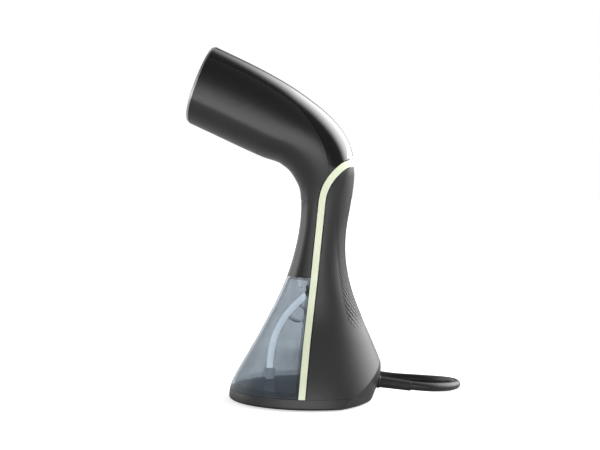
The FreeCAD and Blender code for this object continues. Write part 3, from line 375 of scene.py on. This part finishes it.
def in_hank(along, side, height):
    """A place in the hank's own frame, along it, to its right and up."""
    turn = Matrix.Rotation(HANK_TURN, 4, "Z")
    return HANK_MIDDLE + turn @ Vector((side, along, height))


def end_loop(way, corners, height, climb):
    """The corners of an end loop, at the hank's far end (way 1) or near end (way -1)."""
    places = []
    for corner in range(corners):
        turned = 2 * FOLD_STEP - FOLD_STEP * corner
        along = way * (FOLD_AT + FOLD * math.cos(turned))
        side = way * FOLD * math.sin(turned)
        places.append(in_hank(along, side, height + climb * corner / 4))
    return places


def lead_route():
    """Out of the strain relief, round behind the base, the turns of the hank, up to the plug."""
    route = list(LEAD_OUT)
    for turn in range(HANK_TURNS):
        height = LEAD_RADIUS * (1 + 2 * turn)
        route += [in_hank(along, side, height) for along, side in (TURN_START, *WAIST)]
        route += end_loop(1, corners=5, height=height, climb=0.0)
        route += [in_hank(along, -side, height) for along, side in reversed(WAIST)]
        route += end_loop(-1, corners=4, height=height, climb=2 * LEAD_RADIUS)
    return route + [in_hank(*place) for place in TO_PLUG]


def mains_lead(finish):
    """The mains lead in one length, from the strain relief to the plug."""
    lead = spline_cord("mains_lead", lead_route(), LEAD_RADIUS, finish)
    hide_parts("power_cord", "cord_hank")
    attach(lead, "housing")


def suction_hose(finish):
    """The soft hose from the tank's valve down to the filter weight."""
    hose = spline_cord("suction_hose", HOSE_ROUTE, HOSE_RADIUS, finish)
    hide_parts("suction_tube")
    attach(hose, "tank")


def plug_ribs(finish):
    """Finger ribs moulded across both flanks of the plug body."""
    shape = bmesh.new()
    for flip in (-1, 1):
        for number in range(RIBS):
            rib = bmesh.ops.create_cube(shape, size=1.0)["verts"]
            bmesh.ops.scale(shape, vec=RIB_SIZE, verts=rib)
            place = Vector((flip * FLANK, FIRST_RIB + RIB_PITCH * number, PLUG_HEIGHT))
            bmesh.ops.translate(shape, vec=place, verts=rib)
    bmesh.ops.bevel(shape, geom=shape.edges[:], offset=0.35 * MM, segments=2, affect="EDGES")
    turn = Matrix.Translation(HANK_MIDDLE) @ Matrix.Rotation(HANK_TURN, 4, "Z")
    bmesh.ops.transform(shape, matrix=turn, verts=shape.verts)
    mesh = bpy.data.meshes.new("plug_ribs")
    shape.to_mesh(mesh)
    shape.free()
    mesh.materials.append(finish)
    ribs = bpy.data.objects.new("plug_ribs", mesh)
    scene.collection.objects.link(ribs)
    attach(ribs, "housing")


# ---------------------------------------------------------------- grip texture
RELIEF_FROM = 46 * MM        # lowest and highest row of the relief's skin
RELIEF_TO = 192 * MM
RELIEF_REACH = math.radians(104)                             # to each side of the back's middle
ROWS = 330
COLUMNS = 210
GRIP_MIDDLE = 22 * MM        # the grip's middle, towards +X
RAY = 90 * MM                # from outside the grip to its middle
SCALES_ROUND = 36            # half scales in half a turn round the grip
SCALES_UP = 11               # half scales in a rise of half the grip's width
SCALE_HEIGHT = 0.75 * MM
SINK = 0.06 * MM             # how far the skin dips under the plain grip where the scales end


def grip_rows():
    """Rows of (place, normal, angle) on the back of the grip, the lowest row first."""
    skin = BVHTree.FromObject(cad["grip_cover"], bpy.context.evaluated_depsgraph_get())
    rows = []
    for row in range(ROWS + 1):
        z = RELIEF_FROM + (RELIEF_TO - RELIEF_FROM) * row / ROWS
        line = []
        for column in range(COLUMNS + 1):
            angle = -RELIEF_REACH + 2 * RELIEF_REACH * column / COLUMNS
            outward = Vector((math.cos(angle), math.sin(angle), 0))
            start = Vector((GRIP_MIDDLE, 0, z)) + outward * RAY
            hit, normal, _, _ = skin.ray_cast(start, -outward, RAY)
            line.append((hit, normal, angle))
        rows.append((z, line))
    return rows


def scale_shape(around, up):
    """The height of a diamond scale: 0 in the grooves, and proudest at its lower point."""
    one, other = (up + around) % 2, (up - around) % 2
    groove = min(1.0, 3.0 * min(one, 2 - one, other, 2 - other))
    return groove * (1.0 - 0.65 * (one + other) / 4)


def relief_fade(z, angle):
    """How much of the relief there is at a place: 1 on the back, 0 at the strip and base.

    It reaches furthest round the grip at the waist, and less far at the flare and at the top.
    """
    off_base = max(0.0, (z - 56 * MM) / (14 * MM))
    off_crown = max(0.0, (186 * MM - z) / (6 * MM))
    ends = min(1.0, off_base, off_crown)
    waist = min(1.0, max(0.0, (z - 60 * MM) / (80 * MM)))
    crown = max(0.0, (z - 160 * MM) / (25 * MM))
    degrees_round = 54 + 22 * waist - 26 * crown
    edge = min(1.0, max(0.0, (degrees_round - math.degrees(abs(angle))) / 14))
    return ends * edge * edge * (3 - 2 * edge)


def grip_scales(finish):
    """The relief moulded into the back of the grip.

    The scales keep the same number round the grip, so they grow where it flares. They
    fade out towards the trim strip and above the flared base.
    """
    shape = bmesh.new()
    rise = 0.0
    verts = []
    for z, line in grip_rows():
        half_width = max((abs(hit.y) for hit, _, _ in line if hit is not None), default=20 * MM)
        rise += (RELIEF_TO - RELIEF_FROM) / ROWS / half_width
        made = []
        for hit, normal, angle in line:
            if hit is None:
                made.append(None)
                continue
            scale = scale_shape(around=angle * SCALES_ROUND / math.pi, up=rise * SCALES_UP)
            fade = relief_fade(z, angle)
            made.append(shape.verts.new(hit + normal * (SCALE_HEIGHT * scale * fade - SINK * (1 - fade))))
        verts.append(made)
    for below, above in zip(verts, verts[1:]):
        for corners in zip(below, below[1:], above[1:], above):
            if None not in corners:
                shape.faces.new(corners)
    mesh = bpy.data.meshes.new("grip_scales")
    shape.to_mesh(mesh)
    shape.free()
    mesh.materials.append(finish)
    for face in mesh.polygons:
        face.use_smooth = True
    made = bpy.data.objects.new("grip_scales", mesh)
    scene.collection.objects.link(made)
    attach(made, "housing")


# ---------------------------------------------------------------- assembly
EASED = ("top_cover", "left_shell", "right_shell", "grip_cover", "foot_tray")
EASED_WIDTH = 0.45 * MM
SMOOTH_UP_TO = math.radians(35)


def ease_edges(part):
    """Round the moulded edges that show at the seams."""
    bevel = part.modifiers.new("eased_edges", "BEVEL")
    bevel.width = EASED_WIDTH
    bevel.segments = 2
    bevel.limit_method = "ANGLE"
    bevel.angle_limit = math.radians(40)


def dress(finishes, special):
    """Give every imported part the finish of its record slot, or its special one."""
    slots = {p["node"]: p["material_slot"] for p in frame["record"]["subparts"]}
    for name, part in cad.items():
        part.data.materials.clear()
        part.data.materials.append(special.get(name, finishes[slots[name]]))
        for face in part.data.polygons:
            face.use_smooth = True
        part.data.set_sharp_from_angle(angle=SMOOTH_UP_TO)
    for name in EASED:
        ease_edges(cad[name])


set_camera()
light_the_studio()
paper_floor()

FINISHES = {
    "cover_gloss": moulded_plastic("high_gloss_black_abs", "#0d0d0e", 0.16, 6.0, 0.002, coat=1.0),
    "panel_satin": moulded_plastic("satin_black_abs", "#121213", 0.36, 0.5, 0.010),
    "housing_charcoal": moulded_plastic("charcoal_abs", "#202022", 0.44, 0.5, 0.014),
    "trim_cream": moulded_plastic("pale_green_cream_abs", "#e6eed0", 0.36, 0.5, 0.008),
    "tank_smoke": smoked_clear("smoked_clear_san"),
    "silicone_pale": soft_rubber("milky_silicone", "#cfdbe4", 0.35, 2.0, 0.01, through=0.3),
    "rubber_black": soft_rubber("black_epdm_rubber", "#161616", 0.6, 0.8, 0.03),
    "cord_black": soft_rubber("black_pvc_jacket", "#171718", 0.42, 1.2, 0.02),
    "plate_metal": bare_metal("brushed_aluminium", "#b6b8ba", 0.46, 0.5, (1.0, 0.05, 1.0), 0.01),
    "cast_metal": bare_metal("die_cast_aluminium", "#a9abad", 0.46, 0.7, (1, 1, 1), 0.05),
    "steel": bare_metal("zinc_plated_steel", "#b9bbbd", 0.3, 0.4, (1, 1, 0.2), 0.01),
    "copper_coil": wound_copper("enamelled_copper_wire"),
    "silicone_smoke": smoked_clear("smoked_silicone"),
    "inner_grey": moulded_plastic("grey_nylon", "#5c5d60", 0.5, 0.6, 0.02),
    "inner_white": moulded_plastic("natural_white_nylon", "#d9d9d2", 0.45, 0.6, 0.02),
    "board_green": glass_epoxy("green_glass_epoxy"),
    "light_guide": moulded_plastic("milky_polycarbonate", "#eef2f2", 0.25, 0.8, 0.004, ior=1.58),
    # The filter housing's emission is a painted glow that stands in for light passing through it.
    "weight_grey": soft_rubber("milky_filter_housing", "#b3bac1", 0.5, 0.4, 0.03, through=0.2, painted_glow=0.5),
}
# Milky pieces in the clear tank, with a painted glow that stands in for daylight passing through them from
# behind.
PAINTED_GLOW_SILICONE = soft_rubber("painted_glow_silicone", "#dfe8ef", 0.35, 2.0, 0.01, through=0.3, painted_glow=1.2)
PAINTED_GLOW_NYLON = soft_rubber("painted_glow_nylon", "#e4e6e6", 0.45, 0.6, 0.02, through=0.2, painted_glow=0.8)
# The vent nozzle takes the nylon with the painted glow.
dress(FINISHES, {"vent_nozzle": PAINTED_GLOW_NYLON})
mains_lead(FINISHES["cord_black"])
suction_hose(PAINTED_GLOW_SILICONE)
plug_ribs(FINISHES["cord_black"])
grip_scales(FINISHES["housing_charcoal"])
